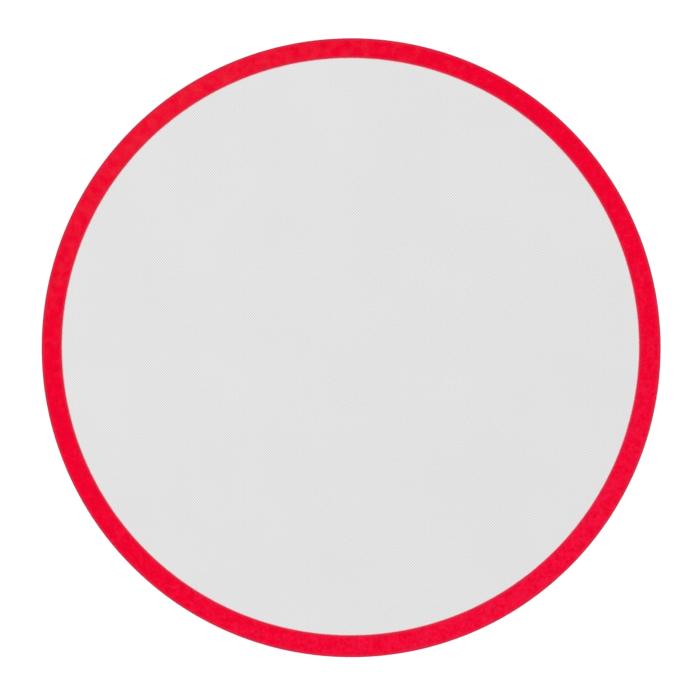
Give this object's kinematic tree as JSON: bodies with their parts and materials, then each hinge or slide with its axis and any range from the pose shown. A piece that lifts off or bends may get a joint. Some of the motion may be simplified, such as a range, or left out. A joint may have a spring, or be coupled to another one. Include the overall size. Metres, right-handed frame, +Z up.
{
  "type": "silicone pastry mat",
  "caption": "Thin round baking and pastry mat of woven glass cloth coated with pale silicone on both faces, with a red printed border and a sealed rim.",
  "frame": {"origin": "middle of the underside, where the mat lies on a tray or table", "axes": "+Z up through the thickness, towards the work face with the border; +Y towards the picture's top, +X towards its right"},
  "size_m": [0.305, 0.305, 0.0008],
  "materials": {
    "pale_silicone": "matt translucent silicone over a plain weave",
    "glass_cloth": "plain-woven glass yarn",
    "red_silicone": "satin printed silicone"
  },
  "bodies": {
    "root": {"bottom_silicone_coat": "pale_silicone", "glass_cloth": "glass_cloth", "top_silicone_coat": "pale_silicone", "border_band": "red_silicone", "edge_seal": "red_silicone"}
  },
  "joints": []
}
